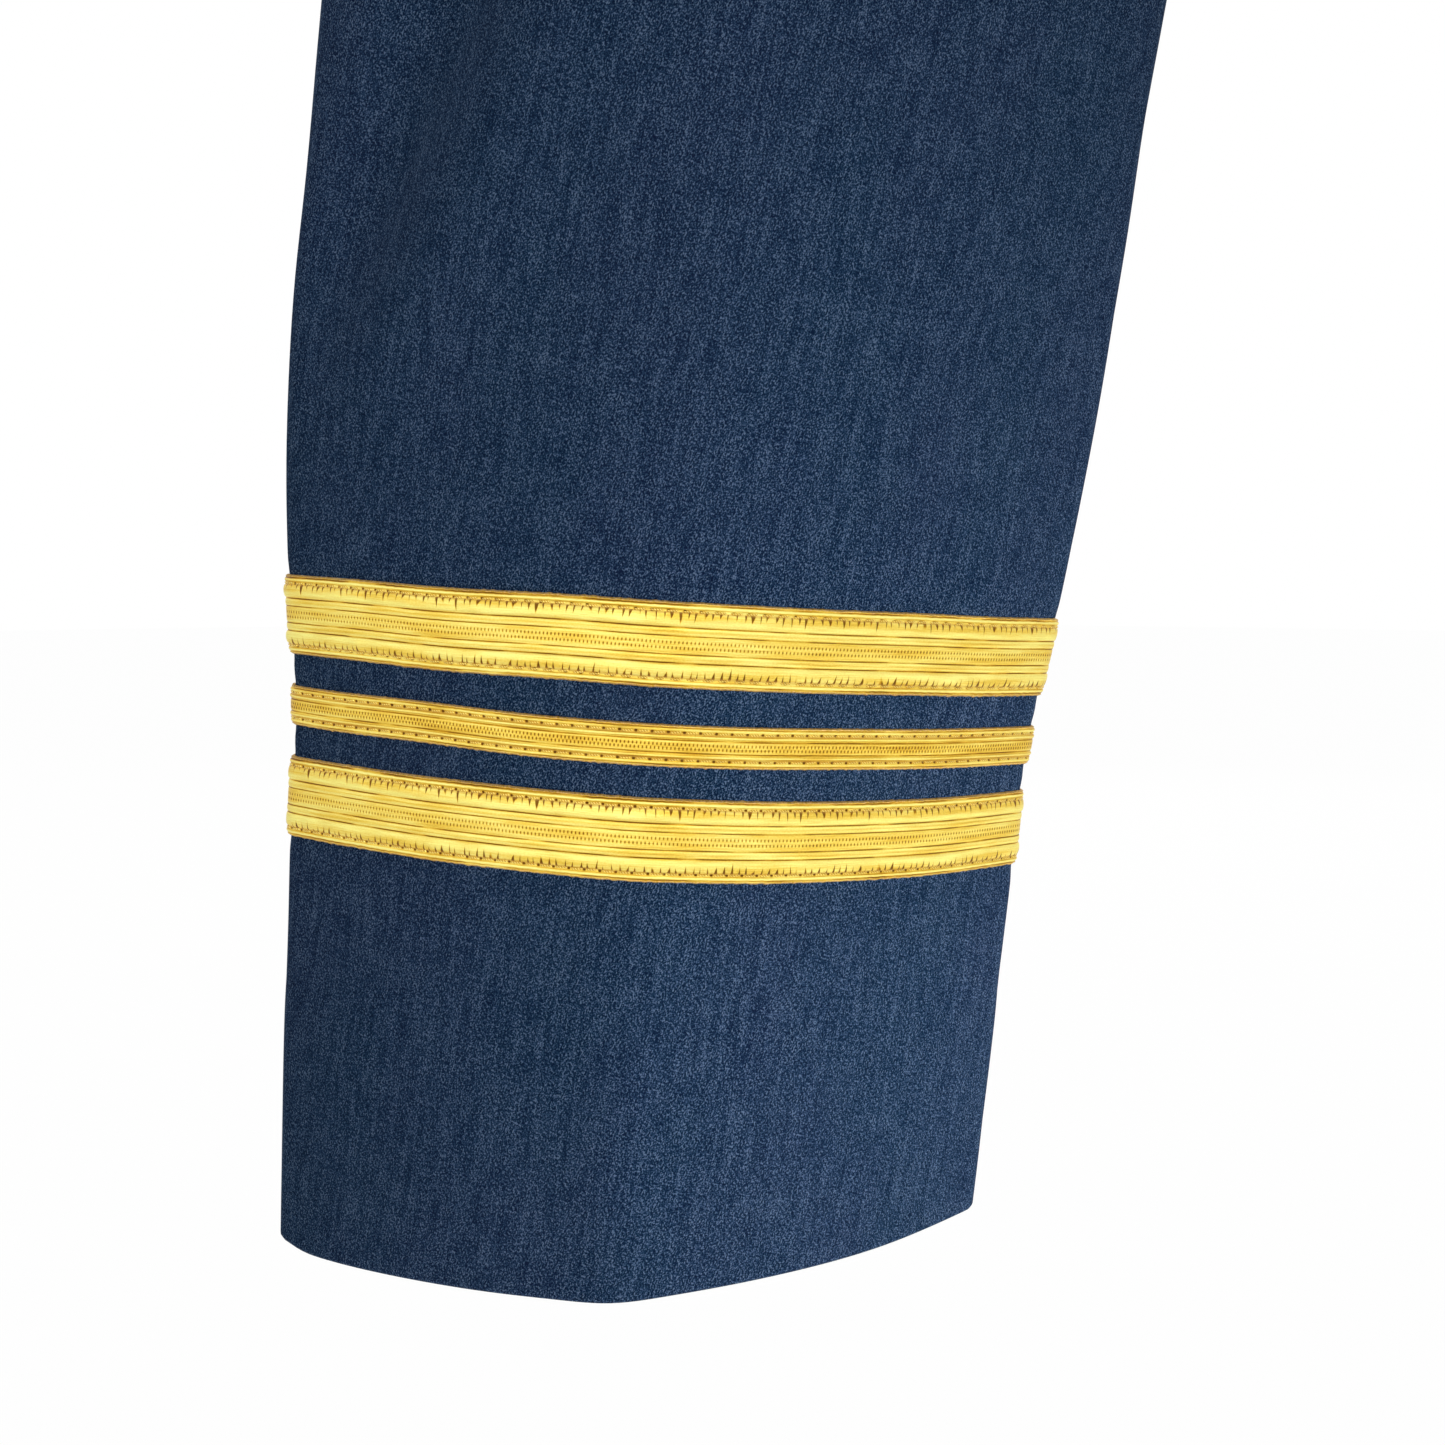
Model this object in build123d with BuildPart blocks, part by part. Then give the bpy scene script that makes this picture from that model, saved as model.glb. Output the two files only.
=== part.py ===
from build123d import *

import os
from math import cos, hypot, radians, sin, sqrt
from typing import NamedTuple

# A left jacket sleeve with three gold rank braids round its cuff, hanging as it does on the jacket.
#
# The origin is the centre of the armhole seam. +Z is up, -Y is the outer side of the sleeve,
# +Y is the side next to the wearer's body, -X is the wearer's front and +X the back.
# Heights along the sleeve are given above the middle of the hem. Everything is in millimetres.
#
# The sleeve is a stack of ovals, called rings here. Every piece of cloth, braid or thread is a
# thin strip that follows the rings at its own depth, so the layers nest at a constant gap.

# ---- sleeve size ----
UNDERARM_HEIGHT = 432.0        # hem to the underarm point
ELBOW_HEIGHT = 265.0           # hem to the elbow
CUFF_HALF_WIDTH = 59.0         # half the width of the flattened tube at the hem
BRAID_HALF_WIDTH = 61.0        # and in the middle of the braids
FOREARM_HALF_WIDTH = 65.5      # and where the forearm is fullest
ELBOW_HALF_WIDTH = 70.0
UPPER_ARM_HALF_WIDTH = 90.0    # at the underarm
ARMHOLE_HALF_WIDTH = 73.0      # half the armhole, front to back
ARMHOLE_DEPTH = 162.0          # underarm point to crown, across the armhole
CUFF_OUTER_BULGE = 28.0        # how far the outer face stands out from the two folds at the cuff
CUFF_INNER_BULGE = 24.0        # and the face next to the body
ELBOW_OUTER_BULGE = 33.0
ELBOW_INNER_BULGE = 31.0
UPPER_ARM_BULGE = 40.0
CUFF_FOLD_RADIUS = 4.5         # how sharply the cloth turns at the front and back folds
ELBOW_FOLD_RADIUS = 9.0
UPPER_ARM_FOLD_RADIUS = 24.0
ARMHOLE_END_RADIUS = 68.0      # crown and underarm of the armhole
ROUNDEST = 0.93                # largest fold radius, as a share of the ring's own half width or depth

# ---- how it hangs ----
CUFF_SHIFT = -16.0             # the cuff hangs forward of the elbow
BRAID_SHIFT = -9.5
ELBOW_SHIFT = 11.0
UPPER_ARM_SHIFT = 8.0
ARMHOLE_SHIFT = 5.0
HEM_SLOPE = 1.7                # degrees that the hem rises towards the back
BRAID_SLOPE = -3.2             # degrees that the braids fall towards the back
UNDERARM_SCOOP = 16.0          # radius of the hollow under the arm
ARMHOLE_PITCH = 75.0           # degrees that the armhole is turned up from level
CAP_STEPS = 5                  # rings between the underarm and the armhole
CAP_DEPTH_EASE = 1.3           # above 1, the cap deepens late
CAP_WIDTH_EASE = 2.0           # above 1, the cap narrows late

# ---- cloth ----
CLOTH = 0.9                    # wool cloth
INTERLINING = 0.4
LINING = 0.5                   # stands in for a thinner lining and its ease
LAYER_GAP = 0.06               # air between two layers
TURN_UP = 40.0                 # depth of the turned-up hem
INTERLINING_TOP = 55.0         # height of the interlining's upper edge
LINING_START = 18.0            # the lining stops this far above the hem
FRONT_SEAM_INSET = 20.0        # the front seam lies this far behind the front fold, at the hem
BACK_SEAM_INSET = 9.0
CAP_SEAM_INSET = 36.0          # both seams, at the armhole
SEAM_GAP = 0.6                 # room for the thread between two panels
SEAM_THREAD_CLEARANCE = 0.1    # the thread to the panel on each side of it
SLEEVE_HEAD_WIDTH = 26.0       # the wadding strip under the crown
SLEEVE_HEAD_HALF_LENGTH = 45.0
SLEEVE_HEAD_THICKNESS = 1.2

# ---- braid and thread ----
WIDE_BRAID = 12.7
NARROW_BRAID = 6.35
BRAID_THICKNESS = 1.0
BRAID_SPACING = 5.1            # cloth that shows between two braids
LOWER_BRAID_HEIGHT = 65.2      # lower edge of the lowest braid
THREAD = 0.35
WIDE_ROW_INSET = 1.5           # stitch row to the edge of a wide braid
NARROW_ROW_INSET = 1.1
ARMHOLE_ROW_INSET = 2.0        # armhole stitching to the seam edge
ARMHOLE_ROW_CLEARANCE = 0.45   # and how far it stands off the cloth

# ---- depths below the outer face of the cloth, layer by layer ----
INTERLINING_OUTSIDE = CLOTH + LAYER_GAP
INTERLINING_INSIDE = INTERLINING_OUTSIDE + INTERLINING
TURN_UP_OUTSIDE = INTERLINING_INSIDE + LAYER_GAP
TURN_UP_INSIDE = TURN_UP_OUTSIDE + CLOTH
LINING_OUTSIDE = TURN_UP_INSIDE + LAYER_GAP
LINING_INSIDE = LINING_OUTSIDE + LINING
BRAID_OUTSIDE = LAYER_GAP + BRAID_THICKNESS        # above the cloth, not below

# ---- heights of the braids ----
MIDDLE_BRAID_HEIGHT = LOWER_BRAID_HEIGHT + WIDE_BRAID + BRAID_SPACING
UPPER_BRAID_HEIGHT = MIDDLE_BRAID_HEIGHT + NARROW_BRAID + BRAID_SPACING
BRAID_TOP = UPPER_BRAID_HEIGHT + WIDE_BRAID
BRAID_MIDDLE = (LOWER_BRAID_HEIGHT + BRAID_TOP) / 2


class Ring(NamedTuple):
    """One station of the sleeve: an oval in its own plane, from fold to fold and face to face."""

    x: float            # centre
    y: float
    height: float
    slope: float        # degrees that the back edge stands above the front edge
    pitch: float        # degrees that the outer side is turned up
    half_width: float
    outer: float        # depth of the outer half
    inner: float        # depth of the half next to the body
    fold: float         # radius of the cloth at the two folds


def mix(low, high, share):
    """The value that lies this share of the way from low to high."""
    return low + (high - low) * share


def ring_between(lower, upper, share):
    """A ring part of the way from one ring to the next."""
    return Ring(*(mix(low, high, share) for low, high in zip(lower, upper)))


def cap_ring(share):
    """A ring of the sleeve cap. These fan out round a line below the underarm, like pages of a book."""
    pitch = ARMHOLE_PITCH * share
    half_width = mix(UPPER_ARM_HALF_WIDTH, ARMHOLE_HALF_WIDTH, share ** CAP_WIDTH_EASE)
    half_depth = mix(UPPER_ARM_BULGE, ARMHOLE_DEPTH / 2, share ** CAP_DEPTH_EASE)
    fold = mix(UPPER_ARM_FOLD_RADIUS, ARMHOLE_END_RADIUS, share)
    reach = UNDERARM_SCOOP + half_depth
    return Ring(
        x=mix(UPPER_ARM_SHIFT, ARMHOLE_SHIFT, share),
        y=UPPER_ARM_BULGE + UNDERARM_SCOOP - reach * cos(radians(pitch)),
        height=UNDERARM_HEIGHT + reach * sin(radians(pitch)),
        slope=0,
        pitch=pitch,
        half_width=half_width,
        outer=half_depth,
        inner=half_depth,
        fold=min(fold, ROUNDEST * half_width, ROUNDEST * half_depth),
    )


HEM = Ring(CUFF_SHIFT, 0, 0, HEM_SLOPE, 0, CUFF_HALF_WIDTH, CUFF_OUTER_BULGE, CUFF_INNER_BULGE,
           CUFF_FOLD_RADIUS)
AT_BRAIDS = HEM._replace(x=BRAID_SHIFT, height=BRAID_MIDDLE, slope=BRAID_SLOPE,
                         half_width=BRAID_HALF_WIDTH)
ELBOW = Ring(ELBOW_SHIFT, 0, ELBOW_HEIGHT, 0, 0, ELBOW_HALF_WIDTH, ELBOW_OUTER_BULGE,
             ELBOW_INNER_BULGE, ELBOW_FOLD_RADIUS)
UNDERARM = cap_ring(0)
ARMHOLE = cap_ring(1)

# The braids lie between two rings of one slope, so their edges are parallel.
BELOW_BRAIDS = ring_between(HEM, AT_BRAIDS, (LOWER_BRAID_HEIGHT - BRAID_SPACING) / BRAID_MIDDLE)
BELOW_BRAIDS = BELOW_BRAIDS._replace(slope=BRAID_SLOPE)
FOREARM = ring_between(AT_BRAIDS, ELBOW, 0.55)._replace(
    slope=BRAID_SLOPE, half_width=FOREARM_HALF_WIDTH)
ABOVE_BRAIDS = ring_between(
    AT_BRAIDS, FOREARM, (BRAID_TOP + BRAID_SPACING - BRAID_MIDDLE) / (FOREARM.height - BRAID_MIDDLE))
BICEPS = ring_between(ELBOW, UNDERARM, 0.5)
ARM_RINGS = [HEM, BELOW_BRAIDS, AT_BRAIDS, ABOVE_BRAIDS, FOREARM, ELBOW, BICEPS, UNDERARM]
CAP_RINGS = [cap_ring(step / CAP_STEPS) for step in range(1, CAP_STEPS + 1)]


def ring_at(height):
    """The ring at a height between the hem and the underarm."""
    for lower, upper in zip(ARM_RINGS, ARM_RINGS[1:]):
        if height <= upper.height:
            return ring_between(lower, upper, (height - lower.height) / (upper.height - lower.height))
    raise ValueError("that height is above the underarm")


def rings_between(low, high):
    """Every ring that a band from one height to another needs."""
    inside = [ring for ring in ARM_RINGS if low < ring.height < high]
    return [ring_at(low), *inside, ring_at(high)]


def rings_up_from(low):
    """Every ring that a piece needs that runs from a height to the armhole."""
    inside = [ring for ring in ARM_RINGS if ring.height > low]
    return [ring_at(low), *inside, *CAP_RINGS]


def ring_plane(ring):
    """The ring's plane. Its local x runs front to back, and its local -y points outwards."""
    across = Vector(cos(radians(ring.slope)), 0, sin(radians(ring.slope)))
    inwards = Vector(0, cos(radians(ring.pitch)), -sin(radians(ring.pitch)))
    centre = Vector(ring.x - ARMHOLE.x, ring.y - ARMHOLE.y, ring.height - ARMHOLE.height)
    return Plane(origin=centre, x_dir=across, z_dir=across.cross(inwards))


class Oval:
    """A ring's outline at some depth below the cloth's outer face, as four tangent arcs."""

    def __init__(self, ring, depth):
        self.width = ring.half_width - depth
        self.outer = ring.outer - depth
        self.inner = ring.inner - depth
        self.fold = ring.fold - depth

    def face_circle(self, face, toward):
        """Centre height and radius of the arc of one face."""
        if self.width < face:
            return toward * (face - self.fold), self.fold
        radius = ((self.width - self.fold) ** 2 / (face - self.fold) + face + self.fold) / 2
        return toward * (face - radius), radius

    def fold_circle(self, face):
        """How far out the centre of a fold's arc lies, and its radius."""
        if self.width >= face:
            return self.width - self.fold, self.fold
        radius = ((face - self.fold) ** 2 / (self.width - self.fold) + self.width + self.fold) / 2
        return self.width - radius, radius

    def corner(self, side, toward):
        """Where a face's arc runs into a fold's arc: both circles touch there."""
        face = self.inner if toward > 0 else self.outer
        face_y, face_radius = self.face_circle(face, toward)
        fold_x, fold_radius = self.fold_circle(face)
        run_x, run_y = fold_x, -face_y
        if face_radius < fold_radius:
            run_x, run_y = -run_x, -run_y
        scale = max(face_radius, fold_radius) / hypot(run_x, run_y)
        if face_radius < fold_radius:
            return side * (fold_x + run_x * scale), run_y * scale
        return side * run_x * scale, face_y + run_y * scale

    def on_inner_face(self, x):
        """The point of the face next to the body at a local x."""
        centre_y, radius = self.face_circle(self.inner, 1)
        return x, centre_y + sqrt(radius ** 2 - x ** 2)

    def draw_inner_face(self, stops):
        """Along the face next to the body, through a row of local x values."""
        for start, end in zip(stops, stops[1:]):
            ThreePointArc(self.on_inner_face(start), self.on_inner_face((start + end) / 2),
                          self.on_inner_face(end))

    def draw_way_round(self, front_seam, stops):
        """From the front seam round the front fold, the outer face and the back fold, to the stops."""
        front_in, front_out = self.corner(-1, 1), self.corner(-1, -1)
        back_out, back_in = self.corner(1, -1), self.corner(1, 1)
        self.draw_inner_face([front_seam, front_in[0]])
        ThreePointArc(front_in, (-self.width, 0), front_out)
        ThreePointArc(front_out, (0, -self.outer), back_out)
        ThreePointArc(back_out, (self.width, 0), back_in)
        self.draw_inner_face([back_in[0], *stops])


def wrapped_section(ring, outside, inside, front_seam, stops):
    """Section of a strip that goes round the sleeve, between two depths."""
    outer, inner = Oval(ring, outside), Oval(ring, inside)
    with BuildSketch(ring_plane(ring)) as section:
        with BuildLine():
            outer.draw_way_round(front_seam, stops)
            Line(outer.on_inner_face(stops[-1]), inner.on_inner_face(stops[-1]))
            inner.draw_way_round(front_seam, stops)
            Line(inner.on_inner_face(front_seam), outer.on_inner_face(front_seam))
        make_face()
    return section.sketch


def inner_face_section(ring, outside, inside, start, end):
    """Section of a strip that lies only on the face next to the body, between two depths."""
    outer, inner = Oval(ring, outside), Oval(ring, inside)
    with BuildSketch(ring_plane(ring)) as section:
        with BuildLine():
            outer.draw_inner_face([start, end])
            Line(outer.on_inner_face(end), inner.on_inner_face(end))
            inner.draw_inner_face([start, end])
            Line(inner.on_inner_face(start), outer.on_inner_face(start))
        make_face()
    return section.sketch


def seam_places(ring):
    """Local x of the front and the back seam on a ring."""
    share = ring.height / ARMHOLE.height
    front = mix(FRONT_SEAM_INSET, CAP_SEAM_INSET, share)
    back = mix(BACK_SEAM_INSET, CAP_SEAM_INSET, share)
    return front - ring.half_width, ring.half_width - back


def add_top_strip(rings, outside, inside):
    """Add the part of a layer that belongs to a top panel."""
    sections = []
    for ring in rings:
        front_seam, back_seam = seam_places(ring)
        sections.append(wrapped_section(ring, outside, inside, front_seam, [back_seam]))
    loft(sections=sections, ruled=True)


def add_under_strip(rings, outside, inside):
    """Add the part of a layer that belongs to an under panel."""
    sections = []
    for ring in rings:
        front_seam, back_seam = seam_places(ring)
        sections.append(inner_face_section(
            ring, outside, inside, front_seam + SEAM_GAP, back_seam - SEAM_GAP))
    loft(sections=sections, ruled=True)


def add_seam_thread(rings, outside, inside, seam):
    """Add the thread that fills the front or the back seam between two panels."""
    sections = []
    for ring in rings:
        front_seam, back_seam = seam_places(ring)
        start = front_seam if seam == "front" else back_seam - SEAM_GAP
        sections.append(inner_face_section(
            ring, outside, inside,
            start + SEAM_THREAD_CLEARANCE, start + SEAM_GAP - SEAM_THREAD_CLEARANCE))
    loft(sections=sections, ruled=True)


def add_band(rings, outside, inside):
    """Add a band that goes right round, with its two ends meeting at the front seam."""
    sections = []
    for ring in rings:
        front_seam, back_seam = seam_places(ring)
        stops = [back_seam, back_seam - SEAM_GAP, front_seam + SEAM_GAP]
        sections.append(wrapped_section(ring, outside, inside, front_seam, stops))
    loft(sections=sections, ruled=True)


def keep_near_armhole(low, high):
    """Keep only what lies between two distances back from the armhole."""
    with BuildSketch(ring_plane(ARMHOLE).offset(-high)) as slab:
        Rectangle(4 * ARMHOLE_HALF_WIDTH, 2 * ARMHOLE_DEPTH)
    extrude(slab.sketch, amount=high - low, mode=Mode.INTERSECT)


def keep_crown():
    """Keep only the stretch over the crown."""
    with BuildSketch(ring_plane(ARMHOLE)) as crown:
        with Locations((0, -ARMHOLE_DEPTH / 2)):
            Rectangle(2 * SLEEVE_HEAD_HALF_LENGTH, ARMHOLE_DEPTH)
    extrude(crown.sketch, amount=SLEEVE_HEAD_WIDTH, both=True, mode=Mode.INTERSECT)


def write(piece, name):
    piece.part.label = name
    export_step(piece.part, f"parts/{name}.step")


os.makedirs("parts", exist_ok=True)

# ---- the two panels of wool cloth: hem fold, outer layer and turned-up layer ----
with BuildPart() as top_sleeve_panel:
    add_top_strip(rings_between(0, CLOTH), 0, TURN_UP_INSIDE)
    add_top_strip(rings_up_from(CLOTH), 0, CLOTH)
    add_top_strip(rings_between(CLOTH, TURN_UP), TURN_UP_OUTSIDE, TURN_UP_INSIDE)
write(top_sleeve_panel, "top_sleeve_panel")

with BuildPart() as under_sleeve_panel:
    add_under_strip(rings_between(0, CLOTH), 0, TURN_UP_INSIDE)
    add_under_strip(rings_up_from(CLOTH), 0, CLOTH)
    add_under_strip(rings_between(CLOTH, TURN_UP), TURN_UP_OUTSIDE, TURN_UP_INSIDE)
write(under_sleeve_panel, "under_sleeve_panel")

# ---- the stiff strip inside the cuff ----
with BuildPart() as cuff_interlining:
    add_band(rings_between(CLOTH + LAYER_GAP, INTERLINING_TOP), INTERLINING_OUTSIDE, INTERLINING_INSIDE)
write(cuff_interlining, "cuff_interlining")

# ---- the two panels of lining ----
with BuildPart() as lining_top_panel:
    add_top_strip(rings_up_from(LINING_START), LINING_OUTSIDE, LINING_INSIDE)
write(lining_top_panel, "lining_top_panel")

with BuildPart() as lining_under_panel:
    add_under_strip(rings_up_from(LINING_START), LINING_OUTSIDE, LINING_INSIDE)
write(lining_under_panel, "lining_under_panel")

# ---- the thread of the two long seams, in the cloth and in the lining ----
for layer, start, outside, inside in [
    ("", 0, 0, CLOTH),
    ("lining_", LINING_START, LINING_OUTSIDE, LINING_INSIDE),
]:
    for seam in ["front", "back"]:
        with BuildPart() as seam_thread:
            add_seam_thread(rings_up_from(start), outside, inside, seam)
        write(seam_thread, f"{layer}{seam}_seam_thread")

# ---- three braids, each with a row of stitches along both edges ----
for name, low, width, row_inset in [
    ("lower", LOWER_BRAID_HEIGHT, WIDE_BRAID, WIDE_ROW_INSET),
    ("middle", MIDDLE_BRAID_HEIGHT, NARROW_BRAID, NARROW_ROW_INSET),
    ("upper", UPPER_BRAID_HEIGHT, WIDE_BRAID, WIDE_ROW_INSET),
]:
    with BuildPart() as braid:
        add_band(rings_between(low, low + width), -BRAID_OUTSIDE, -LAYER_GAP)
    write(braid, f"{name}_braid")
    for edge, middle in [("lower", low + row_inset), ("upper", low + width - row_inset)]:
        with BuildPart() as row:
            add_band(rings_between(middle - THREAD / 2, middle + THREAD / 2),
                     -(BRAID_OUTSIDE + LAYER_GAP + THREAD), -(BRAID_OUTSIDE + LAYER_GAP))
        write(row, f"{name}_braid_{edge}_stitching")

# ---- the row that holds the turned-up hem, along its raw edge ----
with BuildPart() as hem_stitching:
    add_band(rings_between(TURN_UP + LAYER_GAP, TURN_UP + LAYER_GAP + THREAD),
             TURN_UP_OUTSIDE, TURN_UP_INSIDE)
write(hem_stitching, "hem_stitching")

# ---- the row that fells the lining to the turned-up hem, along the lining's lower edge ----
with BuildPart() as lining_hem_stitching:
    add_band(rings_between(LINING_START - LAYER_GAP - THREAD, LINING_START - LAYER_GAP),
             LINING_OUTSIDE, LINING_INSIDE)
write(lining_hem_stitching, "lining_hem_stitching")

# ---- the wadding strip that rounds the crown, just inside the cloth ----
with BuildPart() as sleeve_head_roll:
    add_band(CAP_RINGS[-2:], INTERLINING_OUTSIDE, INTERLINING_OUTSIDE + SLEEVE_HEAD_THICKNESS)
    keep_near_armhole(0, SLEEVE_HEAD_WIDTH)
    keep_crown()
write(sleeve_head_roll, "sleeve_head_roll")

# ---- the row that joins the sleeve to the jacket, round the armhole ----
with BuildPart() as armhole_stitching:
    add_band(CAP_RINGS[-2:], -(ARMHOLE_ROW_CLEARANCE + THREAD), -ARMHOLE_ROW_CLEARANCE)
    keep_near_armhole(ARMHOLE_ROW_INSET, ARMHOLE_ROW_INSET + THREAD)
write(armhole_stitching, "armhole_stitching")
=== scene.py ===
# %% [markdown]
# # A uniform jacket sleeve with three gold braids
# The real thing is a tube of wool cloth, lined with satin, with its hem turned up inside and three
# gold lace braids sewn round the cuff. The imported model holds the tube's sizes. We load it first,
# keep its box, and then build each soft piece in its place.

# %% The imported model
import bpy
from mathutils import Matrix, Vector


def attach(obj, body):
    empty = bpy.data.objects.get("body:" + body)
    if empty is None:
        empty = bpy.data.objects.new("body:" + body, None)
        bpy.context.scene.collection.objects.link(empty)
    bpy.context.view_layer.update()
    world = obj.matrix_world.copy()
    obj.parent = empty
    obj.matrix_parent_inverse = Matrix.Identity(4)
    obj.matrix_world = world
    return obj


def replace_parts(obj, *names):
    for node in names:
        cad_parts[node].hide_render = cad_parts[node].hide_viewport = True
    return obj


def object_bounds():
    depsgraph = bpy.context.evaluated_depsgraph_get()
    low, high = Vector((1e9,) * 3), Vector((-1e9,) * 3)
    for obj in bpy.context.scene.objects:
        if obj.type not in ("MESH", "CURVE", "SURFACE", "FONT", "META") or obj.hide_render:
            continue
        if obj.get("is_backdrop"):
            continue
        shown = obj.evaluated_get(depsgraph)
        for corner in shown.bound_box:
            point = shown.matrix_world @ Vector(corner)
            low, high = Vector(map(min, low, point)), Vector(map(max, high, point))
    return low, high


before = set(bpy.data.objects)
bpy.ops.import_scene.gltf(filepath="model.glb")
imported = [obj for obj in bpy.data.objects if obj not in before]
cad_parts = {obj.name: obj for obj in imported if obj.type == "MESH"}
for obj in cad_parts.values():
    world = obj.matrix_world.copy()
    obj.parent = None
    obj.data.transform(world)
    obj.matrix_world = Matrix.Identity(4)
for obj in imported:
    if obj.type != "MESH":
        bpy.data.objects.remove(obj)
cad_low, cad_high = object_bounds()

from types import SimpleNamespace

import bpy
import numpy as np

print("packed nodes:", len(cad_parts), "box in metres:", [round(v, 3) for v in cad_high - cad_low])

# %% [markdown]
# # Sleeve coordinates
# A sleeve isn't a simple cylinder: it bends at the elbow, its folds are sharp at the cuff and soft at
# the top, and its cap turns over into the armhole. Every layer, braid and stitch lies on it, so one
# function places them all. It takes three numbers: the way up the sleeve from the hem, the travel
# round it from the middle of the face next to the body, and the lift off the cloth. A piece is then
# drawn flat, as on a cutting table, and the function wraps it round the arm.

# %% Pattern sizes
UNDERARM = 432.0            # hem to underarm point, in mm
CAP_PITCH = np.radians(75)  # how far the armhole is turned up from level
SCOOP = 16.0                # hollow under the arm
BULGE = 40.0                # half the sleeve's depth at the underarm
CAP_RUN = (SCOOP + BULGE) * CAP_PITCH
TOP = UNDERARM + CAP_RUN    # the way at the armhole seam
ARMHOLE_CENTRE = np.array([5.0, 30.895, 525.695])

PATTERN = {  # heights above the hem, and the size at each of them, in mm or degrees
    "shift": ((0, 86, 184, 265, 348, 432), (-16, -9.5, 1.8, 11, 10.5, 8)),
    "slope": ((0, 60, 78, 112, 184, 265, 432), (1.7, -2.9, -3.4, -3.4, -3.2, 0, 0)),
    "half_width": ((0, 60, 86, 112, 150, 184, 265, 432), (59, 60.1, 60.7, 63.3, 65.4, 65.9, 70, 90)),
    "outer": ((0, 112, 265, 432), (28, 28.6, 33, 40)),
    "inner": ((0, 112, 265, 432), (24, 25, 31, 40)),
    "fold": ((0, 112, 265, 348, 432), (4.5, 5.2, 9, 16.5, 24)),
}


def mix(low, high, share):
    """low where share is 0, high where it is 1, and a straight line between."""
    return low + (high - low) * share


def ease(value, start, end):
    """0 before start, 1 after end, and 3t^2 - 2t^3 of the share t between them."""
    share = np.clip((value - start) / (end - start), 0, 1)
    return share * share * (3 - 2 * share)


def smooth_through(at, knots, values):
    """A cubic curve through the knots. Its slope at a knot is the mean slope there, and 0 at the end."""
    knots, values = np.asarray(knots, float), np.asarray(values, float)
    slopes = np.gradient(values, knots)
    slopes[-1] = 0
    left = np.clip(np.searchsorted(knots, at, side="right") - 1, 0, len(knots) - 2)
    span = knots[left + 1] - knots[left]
    t = np.clip((at - knots[left]) / span, 0, 1)
    rise = ease(t, 0, 1)
    return (values[left] * (1 - rise) + values[left + 1] * rise
            + span * t * (1 - t) * ((1 - t) * slopes[left] - t * slopes[left + 1]))


def ring_at(way):
    """The oval cross-section at each way up the sleeve, as arrays of its sizes.

    Below the underarm the sizes come from the pattern. Above it, the ovals fan out round a line under
    the arm like the pages of a book, and turn up to the armhole's pitch as their share of the cap grows.
    """
    share = np.clip((way - UNDERARM) / CAP_RUN, 0, 1)
    ring = SimpleNamespace(**{name: smooth_through(way, *table) for name, table in PATTERN.items()})
    cap = way > UNDERARM
    depth = mix(BULGE, 81, share ** 1.3)
    width = mix(90, 73, share ** 2)
    ring.shift = np.where(cap, mix(8, 5, share), ring.shift)
    ring.half_width = np.where(cap, width, ring.half_width)
    ring.outer = np.where(cap, depth, ring.outer)
    ring.inner = np.where(cap, depth, ring.inner)
    ring.fold = np.where(cap, np.minimum(mix(24, 68, share), 0.93 * np.minimum(width, depth)), ring.fold)
    ring.pitch = CAP_PITCH * share
    ring.slope = np.radians(ring.slope)
    ring.y = BULGE + SCOOP - (SCOOP + depth) * np.cos(ring.pitch)
    ring.height = np.where(cap, UNDERARM + (SCOOP + depth) * np.sin(ring.pitch), way)
    ring.y = np.where(cap, ring.y, 0)
    return lay_out(ring)


# %% Round one oval
def half_oval(width, face, fold):
    """Radii of the face arc and the fold arc of half an oval, and the angle at which they meet.

    The short way across has the tight arc of radius fold. The other arc touches it, so its radius is
    ((long - fold)^2 / (short - fold) + short + fold) / 2.
    """
    flat = width >= face
    long, short = np.maximum(width, face), np.minimum(width, face)
    big = ((long - fold) ** 2 / (short - fold) + short + fold) / 2
    meet = np.where(flat, np.arctan2(big - face, width - fold), np.arctan2(face - fold, big - width))
    return np.where(flat, big, fold), np.where(flat, fold, big), meet


def lay_out(ring):
    """Adds to a ring its seven arcs, its length round, and the travel at its two seams."""
    body, body_fold, body_meet = half_oval(ring.half_width, ring.inner, ring.fold)
    away, away_fold, away_meet = half_oval(ring.half_width, ring.outer, ring.fold)
    right = np.pi / 2
    ring.arcs = [(body, right - body_meet), (body_fold, body_meet), (away_fold, away_meet),
                 (away, 2 * (right - away_meet)),
                 (away_fold, away_meet), (body_fold, body_meet), (body, right - body_meet)]
    ring.round = sum(radius * turn for radius, turn in ring.arcs)
    share = ring.height / ARMHOLE_CENTRE[2]
    ring.front = body * np.arcsin((ring.half_width - mix(20, 36, share)) / body)
    ring.back = ring.round - body * np.arcsin((ring.half_width - mix(9, 36, share)) / body)
    return ring


def walk_round(ring, travel):
    """Where a walk of that length round the oval ends: x, y, and the direction that faces outwards.

    It starts in the middle of the face next to the body. Along an arc of radius r, from direction a to
    direction b, the walk moves by r times the difference of their unit vectors.
    """
    left = np.mod(travel, ring.round)
    x, y, facing = np.zeros_like(left), ring.inner + 0 * left, np.full_like(left, np.pi / 2)
    for radius, turn in ring.arcs:
        step = np.clip(left / radius, 0, turn)
        left = left - step * radius
        x = x + radius * (np.cos(facing + step) - np.cos(facing))
        y = y + radius * (np.sin(facing + step) - np.sin(facing))
        facing = facing + step
    return x, y, facing


lengths = ring_at(np.array([0.0, 86.0, 265.0, UNDERARM, TOP])).round
print("length round at hem, braids, elbow, underarm and armhole, in mm:", lengths.round(1))

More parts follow.
